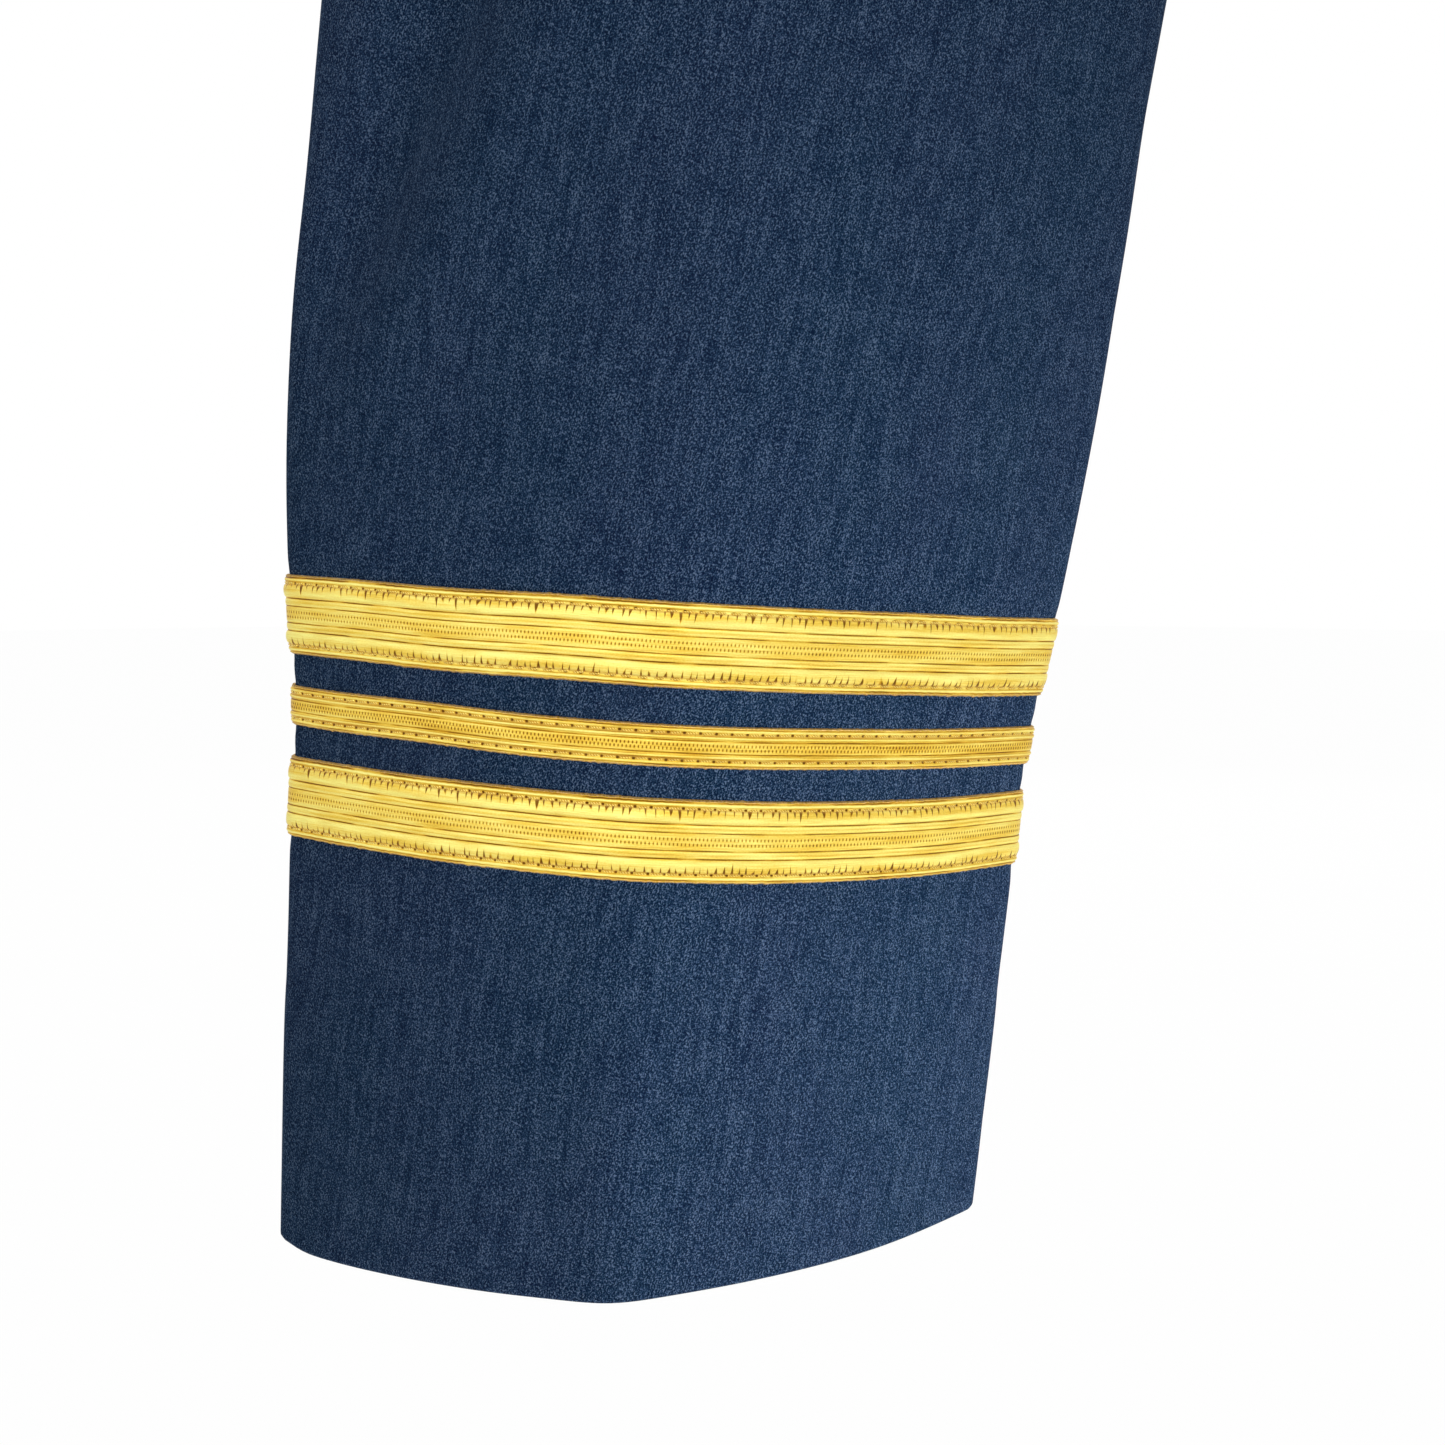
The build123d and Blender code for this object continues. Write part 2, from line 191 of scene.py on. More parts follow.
# %% [markdown]
# # How the cloth drapes
# Real cloth is never the drawn oval. The face away from the body falls in a soft upright ridge, a
# valley runs down from the bend of the elbow towards the front fold, the elbow creases on its inner
# side, and the cap has a little fullness eased into it. These are small pushes in or out. All layers
# share them, so the lining and the turned-up hem can't come through the cloth.

# %% Drape
def gentle_noise(x, y, size, seed):
    """A smooth random height between about -1 and 1: the mean of 7 waves in random directions.

    Each wave is the sine of the distance along its direction over its own length, near to size.
    """
    chance = np.random.default_rng(seed)
    turn, phase = chance.uniform(0, 2 * np.pi, (2, 7))
    length = size * chance.uniform(0.7, 1.5, 7)
    total = 0
    for a, p, wave in zip(turn, phase, length):
        total = total + np.sin((x * np.cos(a) + y * np.sin(a)) * 2 * np.pi / wave + p)
    return total / 3.5


def bump(distance, width):
    """A bell curve: 1 where distance is 0, fading away over the width."""
    return np.exp(-(distance / width) ** 2)


def drape(way, travel, ring, x, facing):
    """How far the cloth is pushed out from the oval at each point, in mm."""
    across = x / ring.half_width
    outside = ease(-np.sin(facing), 0.0, 0.35)
    inside = ease(np.sin(facing), 0.0, 0.35)
    arm = 1 - ease(way, 400, 450)
    # the upright ridge: the face falls away on both sides of it more than an oval does
    side = np.abs(across + 0.045) / np.where(across > -0.045, 1.045, 0.955)
    side = np.clip(np.sqrt(side ** 2 + 0.002), 0, 1)
    ridge = ring.outer * (side ** 2 - side ** 1.65) * mix(1, 0.35, ease(way, 210, 330)) * arm * outside
    # the valley that runs from the front fold up and back towards the elbow, with a soft roll beside it
    tilt = np.radians(22.5)
    apart = (x + 65) * np.cos(tilt) - (way - 147) * np.sin(tilt)
    there = ease(way, 115, 165) * (1 - ease(way, 270, 350)) * outside * ease(across, -1.0, -0.78)
    valley = (1.0 * bump(apart + 20, 11) - 4.4 * bump(apart, 8.5) + 1.3 * bump(apart - 17, 10)) * there
    # a faint upright hollow behind the ridge, above the braids
    valley = valley - 0.8 * bump(x - 27, 9) * ease(way, 106, 135) * (1 - ease(way, 180, 250)) * outside
    # the front fold swells above the braids, and the ridge is keenest at the hem
    swell = 1.4 * bump(way - 136, 40) * bump(across + 1, 0.3) + 0.9 * bump(across + 0.045, 0.13) * (
        1 - ease(way, 10, 90)) * outside
    # creases on the front fold, in the bend of the elbow
    front = bump(across + 1, 0.55)
    creases = sum(size * bump(way - at - lean * (x + ring.half_width), wide) for size, at, lean, wide in (
        (-2.0, 238, 0.35, 6), (1.0, 251, 0.25, 7), (-2.6, 266, 0.12, 6.5), (1.1, 281, -0.1, 8),
        (-1.8, 297, -0.3, 7))) * front
    # slack cloth everywhere above the braids, more of it in the upper arm
    loose = mix(0.25, 1.5, ease(way, 110, 320))
    slack = gentle_noise(x, way * 0.6 + 200 * np.sign(np.sin(facing)) * inside, 62, 4) * loose
    fine = gentle_noise(x, way * 0.8 + 90 * inside, 23, 9) * loose * 0.22
    # fullness eased into the cap near the armhole
    cap = ease(way, TOP - 14, TOP - 3) * (0.3 + 0.7 * outside)
    eased = 0.18 * np.sin(travel * 2 * np.pi / 10.5 + 2 * np.sin(travel / 31)) * cap
    # a dip along each long seam, with the soft print of its two allowances beside it
    seams = 0
    for place in (ring.front, ring.back):
        off = np.abs(np.mod(travel - place + ring.round / 2, ring.round) - ring.round / 2)
        seams = seams - 0.5 * bump(off, 1.3) + 0.16 * (1 - ease(off, 8, 11)) * ease(off, 0.5, 3)
    # the print of the turned-up hem's edge, and the cloth drawn in a little beside each braid
    hem = 0.10 * (1 - ease(way, 38.5, 42)) - 0.10
    drawn = 0
    for edge in BRAID_EDGES:
        drawn = drawn - 0.16 * bump(way - edge, 1.6)
    return ridge + valley + swell + creases + slack + fine + eased + seams + hem + drawn


# %% From the cutting table to the arm
LACE = {  # lower edge of each braid above the hem, and its width, in mm
    "lower": (65.2, 12.7), "middle": (83.0, 6.35), "upper": (94.45, 12.7),
}
STRAY = {  # how much higher each braid was sewn at the back fold, and on the ridge, in mm
    "lower": (0.6, 0.0), "middle": (0.0, -0.3), "upper": (0.0, 0.0),
}
BRAID_EDGES = [edge for low, width in LACE.values() for edge in (low, low + width)]


def on_sleeve(way, travel, lift=0.0):
    """Points in metres on the hanging sleeve.

    A ring's own plane has one axis from front to back, turned by its slope, and one towards the body,
    turned by its pitch. The point is the ring's centre, plus the walk round the oval along those two
    axes, plus the lift and the drape along the direction that faces outwards.
    """
    way, travel, lift = np.broadcast_arrays(*(np.asarray(v, float) for v in (way, travel, lift)))
    ring = ring_at(way)
    x, y, facing = walk_round(ring, travel)
    push = lift + drape(way, travel, ring, x, facing)
    x, y = x + push * np.cos(facing), y + push * np.sin(facing)
    # the hem isn't quite level: it is worn round at the front fold and hangs lowest on the ridge
    across = x / ring.half_width
    hang = 1.2 * bump(across + 1, 0.06) + 0.6 * bump(across - 0.95, 0.2) - 0.4 * bump(across + 0.05, 0.3)
    point = np.stack([ring.shift + x * np.cos(ring.slope),
                      ring.y + y * np.cos(ring.pitch),
                      ring.height + x * np.sin(ring.slope) - y * np.sin(ring.pitch)
                      + hang * (1 - ease(way, 0, 30))], axis=-1)
    return (point - ARMHOLE_CENTRE) / 1000


print("middle of the outer face at the hem, in metres:", on_sleeve(0, lengths[0] / 2).round(4))

# %% [markdown]
# # Meshes
# Cloth is thin but not flat: it has two faces and a cut edge. So a piece of cloth here is two grids of
# points, one for each face, joined round their rims into one closed mesh. Blender's Solidify could
# thicken one grid, but a hem that turns back on itself needs exact gaps between its layers, so both
# faces are worked out.

# %% Mesh makers
def placed(name, data):
    """A new object in the scene that shows this data."""
    made = bpy.data.objects.new(name, data)
    bpy.context.scene.collection.objects.link(made)
    return made


def make_piece(name, points, faces, flat, finish):
    """A mesh object from rows of points and faces. Its flat pattern, in mm, is its UV map.

    The volume inside a closed mesh is a sixth of the sum of its triangles' triple products. Where that
    comes out negative, the faces point inwards, and all of them are turned over.
    """
    points = points.reshape(-1, 3)
    a, b, c, d = (points[faces[:, k]] for k in range(4))
    volume = (np.einsum("ij,ij->i", a, np.cross(b, c)) + np.einsum("ij,ij->i", a, np.cross(c, d))).sum()
    if volume < 0:
        faces = faces[:, ::-1]
    mesh = bpy.data.meshes.new(name)
    mesh.from_pydata(points.tolist(), [], [list(dict.fromkeys(face)) for face in faces.tolist()])
    mesh.update()
    corners = np.empty(len(mesh.loops), int)
    mesh.loops.foreach_get("vertex_index", corners)
    mesh.uv_layers.new(name="Pattern").data.foreach_set("uv", flat.reshape(-1, 2)[corners].ravel())
    mesh.polygons.foreach_set("use_smooth", np.ones(len(mesh.polygons), bool))
    mesh.set_sharp_from_angle(angle=np.radians(55))
    piece = placed(name, mesh)
    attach(piece, "root")
    mesh.materials.append(finish)
    return piece


def grid_faces(rows, columns, first=0, wrap=False):
    """Four-sided faces between neighbouring rows and columns of a grid of points, first one at first."""
    index = first + np.arange(rows * columns).reshape(rows, columns)
    if wrap:
        index = np.concatenate([index, index[:, :1]], axis=1)
    return np.stack([index[:-1, :-1], index[:-1, 1:], index[1:, 1:], index[1:, :-1]], -1).reshape(-1, 4)


def thick_sheet(name, upper, under, flat, finish):
    """A closed sheet between two grids of points of one shape, joined round all four rims."""
    rows, columns = upper.shape[:2]
    count = rows * columns
    index = np.arange(count).reshape(rows, columns)
    edge = np.concatenate([index[0], index[1:, -1], index[-1, -2::-1], index[-2:0:-1, 0]])
    after = np.roll(edge, -1)
    faces = np.concatenate([
        grid_faces(rows, columns), grid_faces(rows, columns, count)[:, ::-1],
        np.stack([after, edge, edge + count, after + count], -1),
    ])
    return make_piece(name, np.stack([upper, under]), faces, np.stack([flat, flat]), finish)


def closed_strips(name, points, flat, finish):
    """Closed solids from an array of solid by station by corner: sides all along, and a cap at each end.

    A cap joins corner k to corner n - 1 - k, so a long thin outline is capped with a ladder of faces.
    """
    solids, stations, corners = points.shape[:3]
    sides = grid_faces(stations, corners, wrap=True)
    k = np.arange(corners // 2 - 1)
    ladder = np.stack([k, k + 1, corners - 2 - k, corners - 1 - k], -1)
    one = np.concatenate([sides, ladder[:, ::-1], ladder + (stations - 1) * corners])
    starts = np.arange(solids) * stations * corners
    faces = (one[None] + starts[:, None, None]).reshape(-1, 4)
    return make_piece(name, points, faces, flat, finish)


# %% [markdown]
# # Finishes
# A finish is a small network of nodes. Written out one link at a time it is hard to read, so one class
# builds nodes for a finish, and another wraps a node's output so that sums on it add Math nodes.
# Patterns read each piece's own flat pattern, in mm, so the weave follows the cloth round the arm.

# %% Node helpers
class Value:
    """A number that varies over a piece. Arithmetic on it adds Math nodes to its finish."""

    def __init__(self, finish, socket):
        self.finish, self.socket = finish, socket

    def math(self, operation, *others):
        return self.finish.node("ShaderNodeMath", {"operation": operation}, dict(enumerate((self, *others))))

    def __add__(self, other):
        return self.math("ADD", other)

    def __sub__(self, other):
        return self.math("SUBTRACT", other)

    def __mul__(self, other):
        return self.math("MULTIPLY", other)

    def __rsub__(self, other):
        return self * -1 + other

    __radd__, __rmul__ = __add__, __mul__

    def size(self):
        """The number without its sign."""
        return self.math("ABSOLUTE")

    def wave(self, length):
        """A sine of that length, from 0 to 1."""
        return (self * (2 * np.pi / length)).math("SINE") * 0.5 + 0.5

    def part_of(self, length):
        """The remainder after whole lengths, from 0 to that length."""
        return self.math("FLOORED_MODULO", length)

    def near(self, place, width):
        """1 at a place, falling to 0 a width away on both sides."""
        return self.finish.node("ShaderNodeMapRange", {"interpolation_type": "SMOOTHSTEP"},
                                {0: (self - place).size(), 1: width, 2: 0.0, 3: 0.0, 4: 1.0})

    def above(self, start, end):
        """0 below start and 1 above end, smoothly."""
        return self.finish.node("ShaderNodeMapRange", {"interpolation_type": "SMOOTHSTEP"},
                                {0: self, 1: start, 2: end, 3: 0.0, 4: 1.0})


class Finish:
    """The nodes of a material or of the world, and the means to add to them."""

    def __init__(self, name, owner=None):
        self.owner = owner or bpy.data.materials.new(name)
        self.owner.use_nodes = True
        self.tree = self.owner.node_tree
        self.tree.nodes.clear()
        if owner is None:
            self.flat = self.node("ShaderNodeUVMap", {"uv_map": "Pattern"})
            self.place = self.node("ShaderNodeTexCoord", output="Object")

    def node(self, kind, settings=(), inputs=(), output=0):
        """Adds one node: its settings first, then a value or a link for each named or numbered input."""
        made = self.tree.nodes.new(kind)
        for key, value in dict(settings).items():
            if key == "stops":
                ramp = made.color_ramp
                while len(ramp.elements) < len(value):
                    ramp.elements.new(1.0)
                for stop, (at, colour) in zip(ramp.elements, value):
                    stop.position, stop.color = at, colour
            else:
                setattr(made, key, value)
        for key, value in dict(inputs).items():
            if isinstance(value, Value):
                self.tree.links.new(value.socket, made.inputs[key])
            else:
                made.inputs[key].default_value = value
        return Value(self, made.outputs[output]) if made.outputs else None

    def axes(self, vector):
        """The first two numbers of a vector."""
        made = self.node("ShaderNodeSeparateXYZ", inputs={0: vector})
        return made, Value(self, made.socket.node.outputs[1])

    def noise(self, vector, cell, turn=0.0, detail=2.0, rough=0.5):
        """Noise between 0 and 1 whose cells have that size, turned by some degrees."""
        laid = self.node("ShaderNodeMapping", {"vector_type": "TEXTURE"},
                         {0: vector, 2: (0, 0, np.radians(turn)), 3: cell})
        return self.node("ShaderNodeTexNoise", {"noise_dimensions": "3D"},
                         {"Vector": laid, "Scale": 1.0, "Detail": detail, "Roughness": rough})

    def ramp(self, value, *stops):
        """The colour at a value, between stops of place and colour."""
        return self.node("ShaderNodeValToRGB", {"stops": stops}, {0: value})

    def blend(self, low, high, share):
        """A colour between two, by a share."""
        return self.node("ShaderNodeMix", {"data_type": "RGBA"}, {0: share, 6: low, 7: high}, output=2)

    def relief(self, height, depth, strength=1.0):
        """A bump of that depth in mm, from a height between 0 and 1."""
        return self.node("ShaderNodeBump", inputs={"Strength": strength, "Distance": depth / 1000,
                                                   "Height": height})

    def surface(self, **sockets):
        """Ends the network in a Principled shader with these sockets."""
        names = {key.replace("_", " ").title().replace("Ior", "IOR"): v for key, v in sockets.items()}
        shader = self.node("ShaderNodeBsdfPrincipled", inputs=names)
        self.node("ShaderNodeOutputMaterial", inputs={0: shader})
        print("finish", self.owner.name, "has", len(self.tree.nodes), "nodes")
        return self.owner


def rgb(red, green, blue):
    """A colour given as it shows on a screen, from 0 to 255, as the linear light that shaders use."""
    shown = np.array([red, green, blue]) / 255
    linear = np.where(shown <= 0.04045, shown / 12.92, ((shown + 0.055) / 1.055) ** 2.4)
    return (*linear.tolist(), 1.0)


# %% [markdown]
# # Navy wool
# The cloth is a mélange twill: dark and light fibres are mixed before they are spun, so from near it
# is a rain of short pale and dark flecks, leaning the way the twill runs. A single noise looks like
# clouds, so noises of several sizes are added up: flecks, streaks, clouds, and slubs, which are the
# thick places in a yarn. A fine twill line crosses them, and slow patches shift the blue. The fibres
# stand up a little, so there is a sheen, set as a constant, and hardly any gloss.

# %% Navy wool finish
def navy_wool():
    """The outer cloth: a sum of noises as one tone, and a ramp from that tone to colours."""
    f = Finish("navy wool")
    streak = f.noise(f.flat, (0.23, 0.66, 1), turn=-13, detail=2.0, rough=0.6)
    fleck = f.noise(f.flat, (0.24, 0.27, 1), turn=-24, detail=1.0)
    patch = f.noise(f.flat, (26, 60, 1), turn=-10, detail=2.0)
    cloud = f.noise(f.flat, (1.7, 4.5, 1), turn=-12, detail=2.0)
    slub = f.noise(f.flat, (0.65, 15, 1), turn=-4, detail=1.0)
    x, y = f.axes(f.flat)
    twill = (x * 0.86 + y * 0.5 + (streak - 0.5) * 0.5).wave(0.62)
    tone = (streak - 0.5) * 2.0 + (fleck - 0.5) * 2.3 + (cloud - 0.5) * 0.5
    tone = tone + (slub - 0.5) * 0.48 + (twill - 0.5) * 0.12 + 0.5
    cloth = f.ramp(tone, (0.08, rgb(2, 16, 42)), (0.38, rgb(20, 41, 67)), (0.55, rgb(37, 60, 89)),
                   (0.74, rgb(64, 88, 118)), (0.98, rgb(108, 128, 154)))
    hue = f.blend(rgb(26, 52, 80), rgb(42, 50, 86), patch.above(0.35, 0.65))
    colour = f.blend(cloth, hue, 0.16)
    height = twill * 0.35 + streak * 0.4 + fleck * 0.5
    return f.surface(base_color=colour, roughness=tone * 0.12 + 0.82, specular_ior_level=0.03,
                     sheen_weight=0.05, sheen_roughness=0.45, sheen_tint=rgb(150, 175, 205),
                     normal=f.relief(height, 0.10, 0.6))


NAVY = navy_wool()

# %% [markdown]
# # Satin lining, interlining and wadding
# Lining satin floats long filaments over the surface, so it has a soft streaky gloss across them. The
# interlining is a stiff open weave of pale yarn. The wadding that rounds the crown is matted fibre.

# %% Finishes inside the sleeve
def lining_satin():
    """The lining: long thin noise for its floating threads, and a diagonal wave in its relief."""
    f = Finish("lining satin")
    x, y = f.axes(f.flat)
    float_line = f.noise(f.flat, (0.12, 3.0, 1), detail=2.0)
    slub = f.noise(f.flat, (4, 40, 1), detail=2.0)
    twill = (x + y * 0.9).wave(0.34)
    colour = f.ramp(float_line * 0.7 + slub * 0.3, (0.3, rgb(16, 24, 46)), (0.7, rgb(30, 42, 74)))
    return f.surface(base_color=colour, roughness=slub * 0.2 + 0.30, specular_ior_level=0.5,
                     normal=f.relief(twill * 0.4 + float_line, 0.03, 0.5))


def pale_weave(name, dark, light, cell):
    """Plain weave: two waves at right angles, light where both are high or both are low."""
    f = Finish(name)
    x, y = f.axes(f.flat)
    weave = x.wave(cell) * y.wave(cell) + (1 - x.wave(cell)) * (1 - y.wave(cell))
    fibre = f.noise(f.flat, (0.5, 0.5, 0.5), detail=4.0)
    return f.surface(base_color=f.ramp(weave * 0.6 + fibre * 0.5, (0.25, dark), (0.8, light)),
                     roughness=fibre * 0.1 + 0.86, specular_ior_level=0.2,
                     normal=f.relief(weave * 0.6 + fibre, 0.15, 0.7))


SATIN = lining_satin()
INTERLINING = pale_weave("interlining", rgb(150, 145, 130), rgb(214, 209, 196), 0.7)
WADDING = pale_weave("wadding", rgb(196, 192, 184), rgb(236, 233, 226), 2.3)

# %% [markdown]
# # Thread
# Sewing thread is two or three plies twisted together. The stitches' pattern runs along the thread in
# one direction and round it in the other, so a slanted stripe is the twist.

# %% Thread finishes
def thread(name, dark, light, metal, rough):
    """Twisted thread: a slanted wave along and round it, with some wear."""
    f = Finish(name)
    along, around = f.axes(f.flat)
    twist = (along + around * 0.5).wave(0.42)
    worn = f.noise(f.flat, (0.5, 0.5, 1), detail=2.0)
    return f.surface(base_color=f.ramp(twist * 0.75 + worn * 0.35, (0.15, dark), (0.95, light)),
                     metallic=worn * 0.1 + metal, roughness=worn * 0.2 + rough,
                     normal=f.relief(twist, 0.08, 0.8))


NAVY_THREAD = thread("navy thread", rgb(8, 16, 34), rgb(34, 50, 78), 0.0, 0.6)
GOLD_THREAD = thread("gold thread", rgb(214, 164, 44), rgb(255, 238, 140), 0.7, 0.3)

# %% [markdown]
# # Gold lace
# The braid is woven from flat gilt foil over a yellow core. From its middle outwards there are two
# rows of tiny gaps, a smooth strip, a rib, a puffed border of foil, the sewing line, a ridge, and a
# dull selvedge. The big forms are in the mesh. The finish adds the fine lines along the braid, the
# rows of gaps, the dents that each stitch pulls into the border, and painted light and shade: darker
# gold as painted shade in every groove, dent, gap and needle hole and in a strip beside the stitches,
# and lighter gold as painted highlight on the ribs and in long streaks of shine.
# It reads the flat pattern: travel along the braid, and distance from its middle.

# %% Gold lace finish
STITCH = 2.4   # length of one stitch and the gap after it, in mm
# The darkest ramp colour, and much of the next, is painted shade in grooves, dents, gaps and needle holes;
# the brightest is partly the foil's pale gold and partly painted highlight. On the next line the first colour
# is painted shade beside the stitches, the second the selvedge's own colour.
SHADE_GOLD, DARK_GOLD, GOLD, BRIGHT = rgb(122, 80, 8), rgb(200, 146, 20), rgb(240, 204, 78), rgb(255, 245, 142)
SEWING_SHADE, PINKISH = rgb(206, 160, 84), rgb(240, 198, 140)


def gap_row(along, across, place, offset):
    """Small C-shaped gaps, 0.6 mm apart, in a row at one distance from the braid's middle."""
    step = (along + offset).part_of(0.6)
    return step.near(0.3, 0.21) * across.near(place, 0.36) * (1 - step.near(0.42, 0.10) * 0.6)


def total_of(parts):
    """The sum of a list of values."""
    result = parts[0]
    for part in parts[1:]:
        result = result + part
    return result


def gold_lace(name, half, gaps, grooves, ribs, sewn, border, bright):
    """The lace finish. Each list holds distances from the middle of the braid, in mm."""
    f = Finish(name)
    along, across = f.axes(f.flat)
    side = across.size()
    strand = f.noise(f.flat, (5.0, 0.16, 1), detail=2.0, rough=0.6)
    shine = f.noise(f.flat, (13, 1.6, 1), detail=2.0)
    grain = f.noise(f.flat, (0.34, 0.20, 1), detail=1.0)
    broken = f.noise(f.flat, (5.5, 0.9, 1), detail=1.0).above(0.30, 0.55) * 0.65 + 0.35
    # long ribs and grooves, in colour: lighter gold on the ribs and in the long shine streaks is painted
    # highlight, darker gold in the grooves is painted shade
    tone = (strand - 0.5) * 0.55 + (shine - 0.5) * 0.7 + (grain - 0.5) * 0.25 + bright
    tone = tone - total_of([side.near(at, width) * depth for at, width, depth in grooves]) * broken
    tone = tone + total_of([side.near(at, width) * lift for at, width, lift in ribs])
    # dents across the border: wedges that start at the sewing line and thin out towards the middle, darkened
    # as painted shade
    warp = f.noise(f.flat, (1.5, 5.0, 1), detail=0.0)
    reach = f.noise(f.flat, (0.7, 4.0, 1), detail=0.0)
    apart = ((along + (warp - 0.5) * 1.3).part_of(STITCH / 2) - STITCH / 4).size()
    wedge = (side - reach * border * 2.1 - (sewn - border * 2.1)) * 0.20
    dents = (wedge - apart).above(-0.02, 0.13) * (sewn - 0.12 - side).above(0.0, 0.12)
    tone = tone - dents * 0.85
    # the sewing line: a strip of painted shade beside the stitches, and a small needle hole at each end of a
    # stitch, painted dark as shade; the rows of gaps are darkened as painted shade too
    hole = (along.part_of(STITCH) - STITCH / 2).size().above(STITCH / 2 - 0.30, STITCH / 2 - 0.08)
    holes = side.near(sewn, 0.26) * hole
    shaded = side.near(sewn - 0.22, 0.30)
    gap = total_of([gap_row(along, across, place, offset) for place, offset in gaps])
    tone = tone - holes - gap * 0.66
    colour = f.ramp(tone, (0.0, SHADE_GOLD), (0.26, DARK_GOLD), (0.56, GOLD), (0.92, BRIGHT))
    colour = f.blend(colour, SEWING_SHADE, shaded * 0.38)
    edge = (side + (grain - 0.5) * 0.22).above(half - 0.36, half - 0.16)
    colour = f.blend(colour, f.ramp(grain, (0.35, DARK_GOLD), (0.62, PINKISH)), edge * 0.85)
    height = strand * 0.3 + grain * 0.2 - gap * 0.9 - dents * 0.9 - holes * 1.5
    return f.surface(base_color=colour, metallic=0.78 - edge * 0.5, roughness=0.44 + edge * 0.3 + gap * 0.2,
                     normal=f.relief(height, 0.12, 0.7))


# %% [markdown]
# # The two panels of wool
# A two-piece sleeve has a wide top panel that wraps round both folds, and a narrow under panel on the
# face next to the body. Each is one sheet: down the outside, round the hem, and 40 mm up the inside.
# The path down and back is the same for every column of the grid, so a panel is that path swept round
# the arm from seam to seam.

# %% Wool panels
CLOTH, TURN_UP = 0.9, 40.0
FOLD_OUTSIDE, FOLD_INSIDE = 1.16, 0.26      # radii of the hem's fold on its outer and inner side


def rows_down(start, end, step):
    """Ways from start down to end in equal steps no longer than step."""
    return np.linspace(start, end, int(np.ceil(abs(start - end) / step)) + 1)


def hemmed_path(radius, depth):
    """The way and the depth along one face of the cloth: down the outside, round the hem, and up.

    The hem is half a circle of that radius round a centre line that stays at one height and depth.
    """
    turn = np.linspace(0, np.pi, 9)[1:-1]
    centre = FOLD_OUTSIDE
    down = np.concatenate([rows_down(TOP, UNDERARM, 1.3), rows_down(UNDERARM, 122, 3.2)[1:],
                           rows_down(122, 58, 1.15)[1:], rows_down(58, centre, 2.6)[1:]])
    up = rows_down(centre, TURN_UP, 3.4)
    way = np.concatenate([down, centre - radius * np.sin(turn), up])
    deep = np.concatenate([down * 0 + depth, centre - radius * np.cos(turn), up * 0 + 2 * centre - depth])
    return way[:, None], deep[:, None]


def seam_to_seam(way, share, part):
    """Travel at each share of a panel, between its own two seams, at each way."""
    ring = ring_at(way)
    half_gap = 0.12
    start, end = ring.front + half_gap, ring.back - half_gap
    if part == "under":
        start, end = ring.back + half_gap, ring.round + ring.front - half_gap
    middle = ring.round / 2 if part == "top" else ring.round
    travel = mix(start, end, share)
    return travel, travel - middle


def flat_pattern(points, from_middle):
    """The pattern's own coordinates in mm: travel from the panel's middle, and length along a column."""
    steps = np.linalg.norm(np.diff(points, axis=0), axis=-1) * 1000
    length = np.concatenate([np.zeros((1, points.shape[1])), np.cumsum(steps, axis=0)])
    return np.stack([from_middle, length[-1:] - length], axis=-1)


def layer(name, way, travel, outside, inside, across, finish):
    """A sheet between two depths under the cloth. across is the first coordinate of its flat pattern."""
    outer, inner = on_sleeve(way, travel, -outside), on_sleeve(way, travel, -inside)
    return thick_sheet(name, outer, inner, flat_pattern(outer, across), finish)


def wool_panel(name, part, columns):
    """One panel of wool, the path of its outer face and of its inner face swept from seam to seam."""
    share = np.linspace(0, 1, columns)[None, :]
    way, deep = hemmed_path(FOLD_OUTSIDE, 0.0)
    travel, from_middle = seam_to_seam(way, share, part)
    outer = on_sleeve(way, travel, -deep)
    flat = flat_pattern(outer, from_middle)
    way, deep = hemmed_path(FOLD_INSIDE, CLOTH)
    travel, _ = seam_to_seam(way, share, part)
    inner = on_sleeve(way, travel, -deep)
    return thick_sheet(name, outer, inner, flat, NAVY)


def cloth_area(piece):
    """The area of one face of a closed sheet: half of the whole mesh's area, in square metres."""
    areas = np.empty(len(piece.data.polygons))
    piece.data.polygons.foreach_get("area", areas)
    return float(areas.sum() / 2)


def declare_sheet(piece, width, length, **facts):
    """Prints how many faces a piece has and its area of cloth. The width by length, in metres, that its cut
    fits in, and the facts, are not used.
    """
    area = cloth_area(piece)
    print(piece.name, "has", len(piece.data.polygons), "faces and", round(area, 4), "square metres of cloth")


top_panel = wool_panel("top_panel", "top", 124)
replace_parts(top_panel, "top_sleeve_panel")
declare_sheet(top_panel, 0.36, 0.72, held="hung")
under_panel = wool_panel("under_panel", "under", 56)
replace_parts(under_panel, "under_sleeve_panel")
declare_sheet(under_panel, 0.21, 0.55, held="hung")

# %% [markdown]
# # The lining
# The lining is cut like the sleeve and felled to the turned-up hem. It is slack, so it falls in its
# own long wrinkles, always towards the arm, never through the cloth.

# %% Lining panels
LINING_START, LINING_OUTSIDE, LINING_INSIDE = 18.0, 2.38, 2.80


